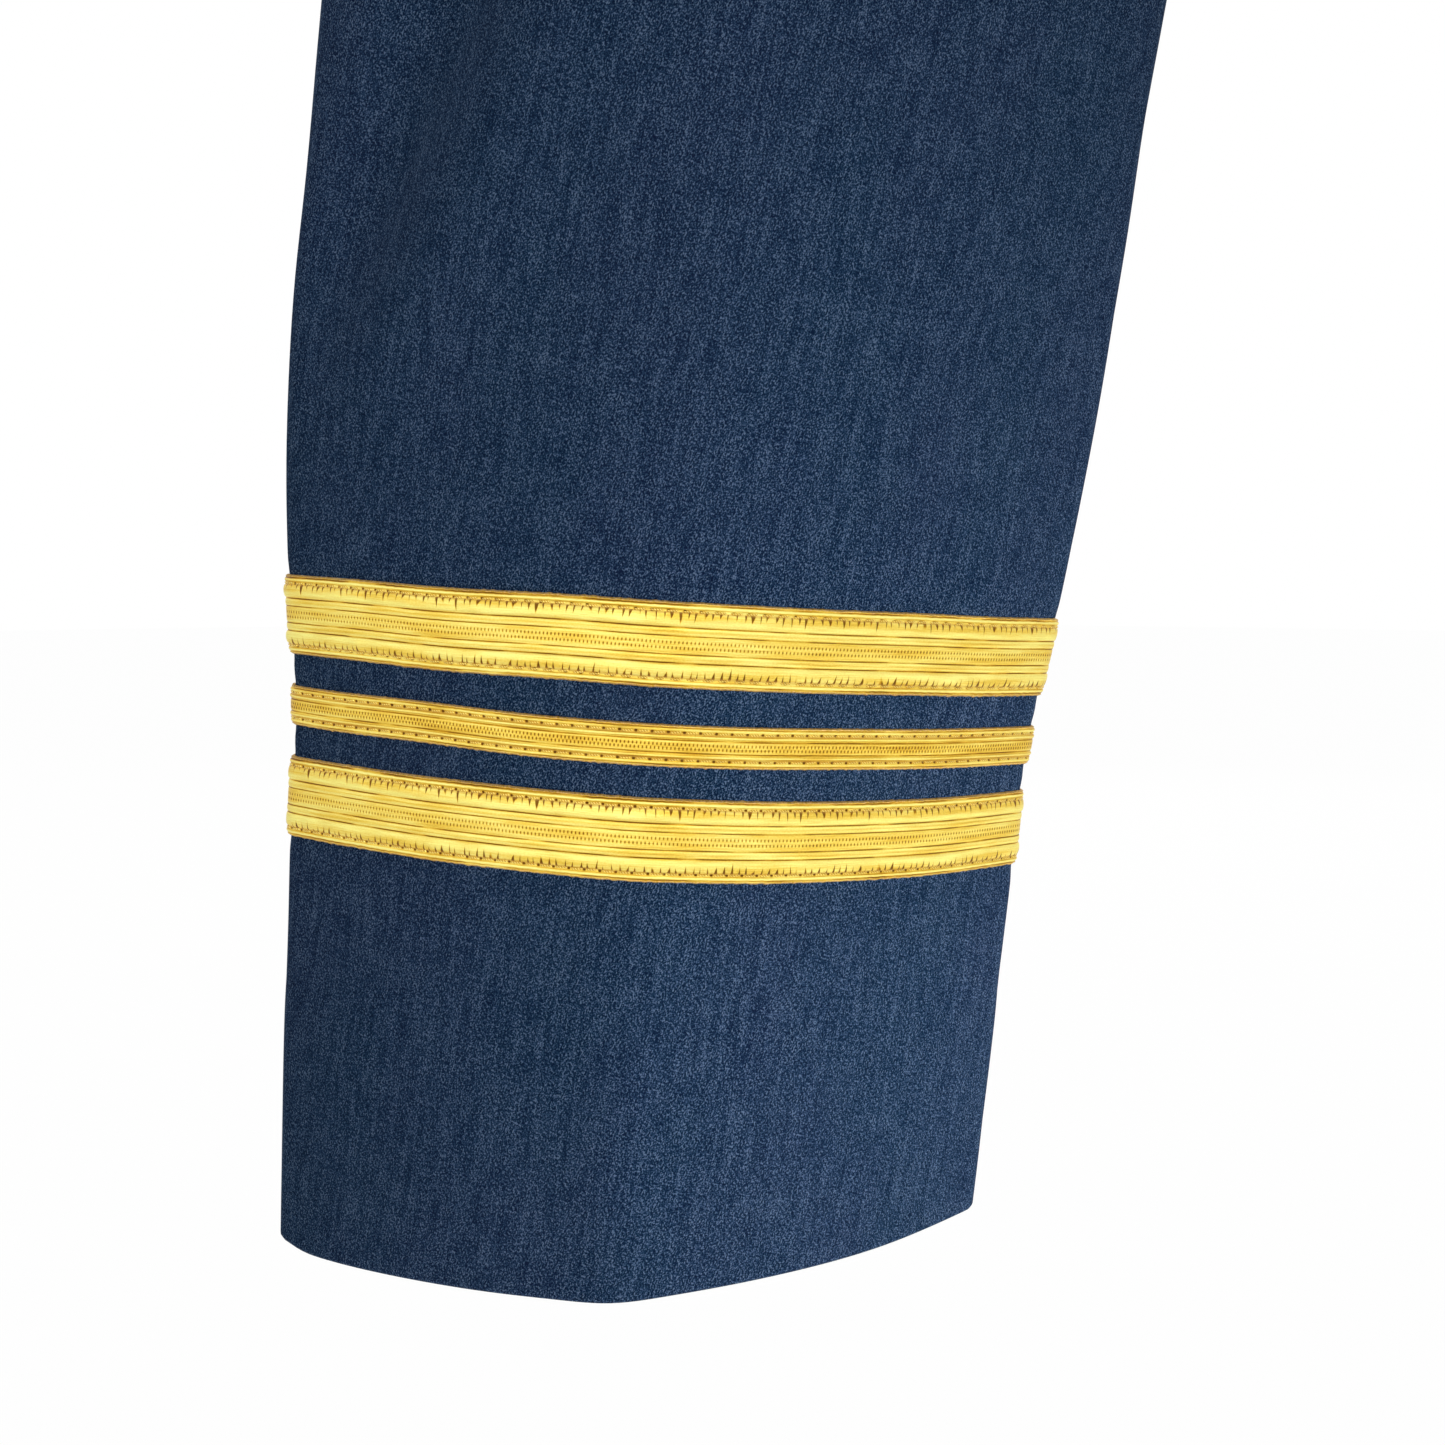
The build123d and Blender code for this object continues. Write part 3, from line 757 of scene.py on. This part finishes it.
def lining_panel(name, part, columns):
    """One panel of lining. How far it hangs free of the cloth is the sum of two noises, which fades to
    nothing at its hem, top and seams, and of one roll just above its hem.
    """
    share = np.linspace(0, 1, columns)[None, :]
    way = np.concatenate([rows_down(TOP, UNDERARM, 2.0), rows_down(UNDERARM, LINING_START, 4.0)[1:]])[:, None]
    travel, from_middle = seam_to_seam(way, share, part)
    free = ease(way, LINING_START, 46) * (1 - ease(way, TOP - 12, TOP - 2)) * ease(share, 0, 0.06) * (
        1 - ease(share, 0.94, 1))
    long_fold = gentle_noise(travel, way * 0.22, 30, 21) * 0.5 + 0.5
    short_fold = gentle_noise(travel * 0.8, way * 0.6, 17, 22) * 0.5 + 0.5
    roll = bump(way - 26, 7) * 1.1
    slack = np.clip(2.1 * long_fold + 0.8 * short_fold, 0, 3.2) * free + roll
    return layer(name, way, travel, LINING_OUTSIDE + slack, LINING_INSIDE + slack, from_middle,
                 SATIN)


lining_top = lining_panel("lining_top", "top", 110)
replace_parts(lining_top, "lining_top_panel")
declare_sheet(lining_top, 0.36, 0.68, held="hung")
lining_under = lining_panel("lining_under", "under", 46)
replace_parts(lining_under, "lining_under_panel")
declare_sheet(lining_under, 0.20, 0.52, held="hung")

# %% [markdown]
# # Inside the cuff and the crown
# A strip of interlining, hidden between the cloth and its turn-up, keeps the cuff round. A strip of
# wadding sits under the crown of the cap.

# %% Interlining and sleeve head
UNDER_CLOTH = 0.98                  # depth just inside the cloth, in mm
STIFF_INSIDE, STIFF_GAP = 1.34, 0.4  # depth of the interlining's inner face, and its ends' gap at the seam
CROWN_HALF = 47.0                   # half the length of the wadding, round the crown

way = rows_down(54.8, 1.1, 3)[:, None]
ring = ring_at(way)
travel = mix(ring.front + STIFF_GAP, ring.front + ring.round - STIFF_GAP, np.linspace(0, 1, 150)[None, :])
stiffener = layer("stiffener", way, travel, UNDER_CLOTH, STIFF_INSIDE, travel, INTERLINING)
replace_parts(stiffener, "cuff_interlining")
declare_sheet(stiffener, 0.27, 0.056, held="stretched")


def sleeve_head():
    """The wadding strip. Its thickness is the root of a sine across it, and thins out at both ends."""
    share = np.linspace(0, 1, 60)[None, :]
    way = rows_down(TOP - 0.2, TOP - 8.0, 0.35)[:, None]
    crown = ring_at(way).round / 2
    travel = mix(crown - CROWN_HALF, crown + CROWN_HALF, share)
    plump = np.sqrt(np.clip(np.sin(np.pi * np.linspace(0, 1, len(way))), 0, 1))[:, None] * ease(
        np.minimum(share, 1 - share), -0.01, 0.05)
    lump = 0.12 * gentle_noise(travel, way * 3, 7, 31)
    roll = layer("sleeve_head", way, travel, UNDER_CLOTH + 0.10 * (1 - plump), 1.15 + (1.0 + lump) * plump,
                 travel, WADDING)
    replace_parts(roll, "sleeve_head_roll")
    print(roll.name, "has", len(roll.data.polygons), "faces")


sleeve_head()

# %% [markdown]
# # The braids
# Each braid goes once round the cuff and its ends meet at the front seam. Its section is drawn once,
# as a height over the cloth for each distance from the middle, then carried round the arm. The border
# puffs up between the stitches, so that height also depends on the travel. Nothing woven is perfectly
# even, so the edges wander a little and each puff is its own size.

# %% Lace sections
THICK = 0.56          # the flat parts of the lace
STATIONS = 920        # how many sections are carried round
UNDER_FACE, UPPER_FACE = 0.07, 0.08   # lift off the cloth of the lace's under face, and of its edges' top
END_GAP = 0.0012      # share of the way round that is left open at each end of a braid
ROUNDING = 0.35       # radius of the rounded edges


def wide_relief(across, hole, puff):
    """Height over the cloth of the wide lace: a flat part, plus a bell curve for each rib and groove."""
    side = np.abs(across)
    border = np.clip(np.sin(np.pi * np.clip((side - 2.65) / 2.15, 0, 1)), 0, 1) ** 0.6
    height = THICK - 0.10 * bump(side - 1.3, 0.13) + 0.05 * bump(side - 1.9, 0.4)
    height = height - 0.13 * bump(side - 2.6, 0.14)
    height = height + (0.20 + 0.07 * puff) * border * (1 - 0.3 * hole * ease(side, 3.1, 4.4))
    height = height - 0.22 * bump(side - 5.0, 0.22) * (0.65 + 0.35 * hole) + 0.12 * bump(side - 5.55, 0.2)
    return height - 0.14 * bump(side - 5.95, 0.12)


def narrow_relief(across, hole, puff):
    """Height over the cloth of the narrow lace: two rounded ribs beside a middle with two rows of gaps."""
    side = np.abs(across)
    height = THICK + 0.16 * bump(side - 1.45, 0.22) - 0.12 * bump(side - 0.98, 0.15)
    height = height - 0.20 * bump(side - 2.05, 0.2) * (0.6 + 0.4 * hole)
    height = height + (0.12 + 0.05 * puff) * bump(side - 2.5, 0.2)
    return height - 0.10 * bump(side - 2.85, 0.1)


def strayed(name, travel):
    """How far a braid strays from its level, in mm, at each travel. It was pinned and sewn by hand."""
    low, width = LACE[name]
    back, ridge = STRAY[name]
    ring = ring_at(np.array(low + width / 2))
    x, _, facing = walk_round(ring, travel)
    across = x / ring.half_width
    slow = 0.10 * gentle_noise(travel, travel * 0, 37, len(name) + int(low))
    return slow + back * ease(across, 0.45, 1.0) + ridge * bump(across, 0.4) * ease(-np.sin(facing), 0, 0.35)


def from_front(way, share):
    """Travel after a share of one turn from the front seam, at each way."""
    ring = ring_at(way)
    return ring.front + share * ring.round


def braid(name, relief, finish, seed):
    """One lace braid, as stations of a closed outline carried round the sleeve."""
    low, width = LACE[name]
    half, rows = width / 2, (66 if width > 10 else 40)
    share = np.linspace(END_GAP, 1 - END_GAP, STATIONS)[:, None]
    across = np.linspace(-half, half, rows)[None, :]
    middle = low + half
    ring = ring_at(np.array(middle))
    along = share * ring.round
    wander = strayed(name, ring.front + along)
    edge = 0.09 * gentle_noise(along, across * 0 + np.sign(across) * 9, 1.3, seed + 1)
    edge = edge * np.abs(across / half) ** 12
    stitch = np.mod(along, STITCH)
    hole = np.maximum(bump(stitch, 0.36), bump(stitch - STITCH, 0.36))
    puff = gentle_noise(along, across * 0.8, 5.5, seed + 2)
    rounded = np.sqrt(np.clip(1 - ((np.abs(across) - half + ROUNDING) / ROUNDING).clip(0) ** 2, 0, 1))
    top = UPPER_FACE + relief(across, hole, puff) * (0.25 + 0.75 * rounded)
    way = middle + across + wander + edge
    upper = on_sleeve(way, from_front(way, share), top)
    way = middle - across + wander
    under = on_sleeve(way, from_front(way, share), UNDER_FACE)
    points = np.concatenate([upper, under], axis=1)[None]
    flat = np.stack(np.broadcast_arrays(along, np.concatenate([across, -across], axis=1)), -1)
    piece = closed_strips(f"{name}_lace", points, flat, finish)
    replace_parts(piece, f"{name}_braid")
    print(piece.name, "has", len(piece.data.polygons), "faces")


# Each groove darkens the lace as painted shade and each rib lightens it as painted highlight: place and width
# in mm from the middle, and an amount of tone.
WIDE_LACE = gold_lace(
    "wide gold lace", 6.35, gaps=[(0.4, 0.0), (-0.4, 0.3)],
    grooves=[(1.35, 0.17, 0.72), (2.0, 0.08, 0.2), (2.6, 0.18, 0.78), (5.3, 0.12, 0.35), (5.9, 0.24, 0.6)],
    ribs=[(1.65, 0.2, 0.14), (2.3, 0.16, 0.12), (3.3, 0.9, 0.16), (5.6, 0.22, 0.3)], sewn=5.0, border=1.3,
    bright=0.66)
NARROW_LACE = gold_lace(
    "narrow gold lace", 3.175, gaps=[(0.3, 0.0), (-0.3, 0.3)],
    grooves=[(0.95, 0.2, 0.5), (1.25, 0.1, 0.2), (1.7, 0.14, 0.35), (2.75, 0.16, 0.5)],
    ribs=[(1.45, 0.2, 0.25), (0.7, 0.12, 0.1), (2.45, 0.18, 0.2)], sewn=2.08, border=0.35,
    bright=0.56)

braid("lower", wide_relief, WIDE_LACE, 41)
braid("middle", narrow_relief, NARROW_LACE, 51)
braid("upper", wide_relief, WIDE_LACE, 61)

# %% [markdown]
# # Stitches
# Every row of sewing is made of separate stitches. One stitch is a short piece of thread that comes
# out of a hole, lies on the cloth and goes back down. In sleeve coordinates that is a straight run
# with an arched lift, so a whole row is one array: stitch by station by corner.

# %% Stitch rows
FLATNESS = 0.35     # the power of the sine that shapes a stitch: less is flatter


def stitch_row(name, node, start, end, lift, arch, radius, finish=NAVY_THREAD):
    """A row of stitches. start and end are arrays of way and travel for the two holes of each stitch.

    A station's lift is the row's lift, plus the arch times a low power of the sine along the stitch,
    so the thread lies flat and turns down at its ends. The corners lie on a circle of the thread's
    radius, across the stitch and outwards.
    """
    stations, corners = 7, 6
    t = np.linspace(0, 1, stations)[None, :, None]
    round_it = (np.arange(corners) * 2 * np.pi / corners)[None, None, :]
    start, end = np.asarray(start, float), np.asarray(end, float)
    run = end - start
    long = np.linalg.norm(run, axis=1)[:, None, None]
    cross = (np.stack([-run[:, 1], run[:, 0]], 1) / np.linalg.norm(run, axis=1)[:, None])[:, None, None, :]
    thin = radius * (0.75 + 0.25 * np.sin(np.pi * t) ** 0.5)
    place = start[:, None, None, :] + run[:, None, None, :] * t[..., None]
    place = place + cross * (thin * np.cos(round_it))[..., None]
    height = lift + arch * np.sin(np.pi * t) ** FLATNESS + thin * np.sin(round_it)
    points = on_sleeve(place[..., 0], place[..., 1], height)
    flat = np.stack(np.broadcast_arrays(t * long, round_it * radius + 0 * t), -1)
    flat = np.broadcast_to(flat, points.shape[:3] + (2,))
    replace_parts(closed_strips(name, points, flat, finish), node)
    print(name, "has", len(start), "stitches")


def around_row(way, pitch, length, seed, lean=0.0):
    """Holes of a row of running stitches once round the sleeve at one way."""
    ring = ring_at(np.array(float(way)))
    count = int(round(float(ring.round) / pitch))
    chance = np.random.default_rng(seed)
    middle = float(ring.front) + (np.arange(count) + 0.5) / count * float(ring.round)
    shift = chance.normal(0, 0.05, (2, count))
    drop = chance.normal(0, 0.035, (2, count))
    start = np.stack([way - lean / 2 + drop[0], middle - length / 2 + shift[0]], 1)
    end = np.stack([way + lean / 2 + drop[1], middle + length / 2 + shift[1]], 1)
    return start, end


WIDE_INSET, NARROW_INSET = 1.35, 1.12   # from the edge of a braid in to its row of stitches, in mm
STITCH_LONG = 1.95

for seed, (name, (low, width)) in enumerate(LACE.items()):
    inset = WIDE_INSET if width > 10 else NARROW_INSET
    for edge, way in (("lower", low + inset), ("upper", low + width - inset)):
        start, end = around_row(way, STITCH, STITCH_LONG, 70 + seed, lean=0.12)
        start[:, 0] += strayed(name, start[:, 1])
        end[:, 0] += strayed(name, end[:, 1])
        stitch_row(f"{name}_{edge}_row", f"{name}_braid_{edge}_stitching", start, end, 0.34, 0.26, 0.15,
                   GOLD_THREAD)

# %% [markdown]
# # Seams and hand sewing
# The long seams are sewn by machine: one short stitch after another at the bottom of the groove
# between two panels. The raw edge of the turn-up is caught down with slanted stitches, the lining is
# felled to it by hand, and a row of tacking goes round the armhole.

# %% Other stitch rows
SEAM_PITCH, HOLE = 2.2, 0.12   # from stitch to stitch along a long seam, and half the gap between two


def seam_row(name, node, place, lift, radius, bottom):
    """Stitches that follow a long seam up the sleeve. place names its seam: front or back."""
    ways = np.arange(bottom, TOP - 1.5, SEAM_PITCH)
    low, high = ways + HOLE, ways + SEAM_PITCH - HOLE
    start = np.stack([low, getattr(ring_at(low), place)], 1)
    end = np.stack([high, getattr(ring_at(high), place)], 1)
    keep = end[:, 0] < TOP - 0.3
    stitch_row(name, node, start[keep], end[keep], lift, 0.10, radius)


seam_row("front_seam_row", "front_seam_thread", "front", -0.42, 0.16, 1.4)
seam_row("back_seam_row", "back_seam_thread", "back", -0.42, 0.16, 1.4)
seam_row("lining_front_row", "lining_front_seam_thread", "front", -2.62, 0.11, LINING_START + 1)
seam_row("lining_back_row", "lining_back_seam_thread", "back", -2.62, 0.11, LINING_START + 1)

start, end = around_row(TURN_UP + 0.3, 5.0, 3.4, 81, lean=1.6)
stitch_row("hem_row", "hem_stitching", start, end, -1.98, 0.12, 0.13)
start, end = around_row(LINING_START - 0.25, 2.6, 0.8, 82, lean=1.5)
stitch_row("lining_hem_row", "lining_hem_stitching", start, end, -2.62, -0.22, 0.12)
start, end = around_row(TOP - 1.4, 4.2, 2.7, 83, lean=0.1)
stitch_row("armhole_row", "armhole_stitching", start, end, -0.02, 0.28, 0.17)

# %% [markdown]
# # Floor, light and camera
# The sleeve hangs in the air over a pale floor. A small lamp near the cuff, low on the right, gives the
# cloth its light side. It isn't mirrored in the gold, which would burn out there. Large soft lamps fill
# the rest. The world is white to the camera and in reflections, so gold has something bright to
# reflect, and dimmer as a light.

# %% Floor and world
def white_where_seen(finish, share):
    """The given share for camera, glossy and transmission rays, and 0 for all other light."""
    rays = finish.node("ShaderNodeLightPath")
    sockets = rays.socket.node.outputs
    seen = Value(finish, sockets["Is Camera Ray"])
    for name in ("Is Glossy Ray", "Is Transmission Ray"):
        seen = seen.math("MAXIMUM", Value(finish, sockets[name]))
    return seen * share


def pale_floor():
    """White to the camera, and a pale plain floor to all other light."""
    f = Finish("pale floor")
    speck = f.noise(f.place, (0.02, 0.02, 0.02), detail=3.0)
    pale = f.blend(rgb(232, 232, 230), rgb(240, 240, 239), speck)
    plain = f.node("ShaderNodeBsdfDiffuse", inputs={0: pale})
    white = f.node("ShaderNodeEmission", inputs={0: (1, 1, 1, 1), 1: 1.0})
    mixed = f.node("ShaderNodeMixShader", inputs={0: white_where_seen(f, 0.985), 1: plain, 2: white})
    f.node("ShaderNodeOutputMaterial", inputs={0: mixed})
    return f.owner


def floor_disc(radius, height):
    """A flat grid of rings round a centre, as a disc, at one height."""
    sides, rings = 64, 12
    turn = np.linspace(0, 2 * np.pi, sides, endpoint=False)[None, :]
    out = np.linspace(0.02, radius, rings)[:, None]
    points = np.stack(np.broadcast_arrays(out * np.cos(turn), out * np.sin(turn), 0 * out + height), -1)
    mesh = bpy.data.meshes.new("floor")
    faces = [list(range(sides))] + grid_faces(rings, sides, wrap=True)[:, ::-1].tolist()
    mesh.from_pydata(points.reshape(-1, 3).tolist(), [], faces)
    mesh.materials.append(pale_floor())
    placed("floor", mesh)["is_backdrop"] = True


floor_disc(6.0, cad_low.z - 0.16)

world = bpy.data.worlds.new("studio")
bpy.context.scene.world = world
studio = Finish("studio", world)
share = white_where_seen(studio, 1.0)
dim = studio.node("ShaderNodeBackground", inputs={0: (0.93, 0.96, 1.0, 1), 1: 0.22})
bright = studio.node("ShaderNodeBackground", inputs={0: (1, 1, 1, 1), 1: 1.0})
lit = studio.node("ShaderNodeMixShader", inputs={0: share, 1: dim, 2: bright})
studio.node("ShaderNodeOutputWorld", inputs={0: lit})

# %% Lamps and camera
from mathutils import Euler, Vector


def soft_lamp(name, place, aim, size, watts, colour, spread=180, mirrored=True):
    """A square area lamp at a place, turned towards its aim. A small spread keeps its light together.

    A lamp that isn't mirrored lights the cloth but makes no glints in the gold.
    """
    lamp = bpy.data.lights.new(name, "AREA")
    lamp.size, lamp.energy, lamp.color, lamp.spread = size, watts, colour, np.radians(spread)
    holder = placed(name, lamp)
    holder.location, holder.visible_glossy = place, mirrored
    holder.rotation_euler = (Vector(aim) - Vector(place)).to_track_quat("-Z", "Y").to_euler()


CUFF = (-0.01, -0.03, -0.42)
soft_lamp("key", (0.36, -0.36, -0.70), (0.035, -0.07, -0.575), 0.25, 0.44, (1.0, 0.99, 0.97), 48, False)
soft_lamp("front", (-0.4, -1.4, -0.5), CUFF, 1.2, 3.5, (1.0, 1.0, 0.98))
soft_lamp("fill", (-1.3, -1.0, 0.0), CUFF, 1.4, 2.4, (0.97, 0.98, 1.0))
soft_lamp("back", (0.3, 1.5, 0.2), CUFF, 1.4, 12, (1.0, 1.0, 1.0))
soft_lamp("upper", (0.2, -1.3, 0.5), (0.0, 0.0, 0.02), 0.6, 0.5, (1.0, 1.0, 1.0), 40)

camera = bpy.data.cameras.new("camera")
camera.lens, camera.sensor_width = 40.36, 36
camera.clip_start = 0.01
holder = placed("camera", camera)
holder.location = (-0.0182, -0.2976, -0.4113)
holder.rotation_euler = Euler(np.radians([90 - 6.0, 0.0, -2.8]))
bpy.context.scene.camera = holder
bpy.context.scene.view_settings.view_transform = "Standard"

# %% Finish
low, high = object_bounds()
print("visual box minus packed box, in mm, low then high:",
      [round(v * 1000, 1) for v in low - cad_low], [round(v * 1000, 1) for v in high - cad_high])
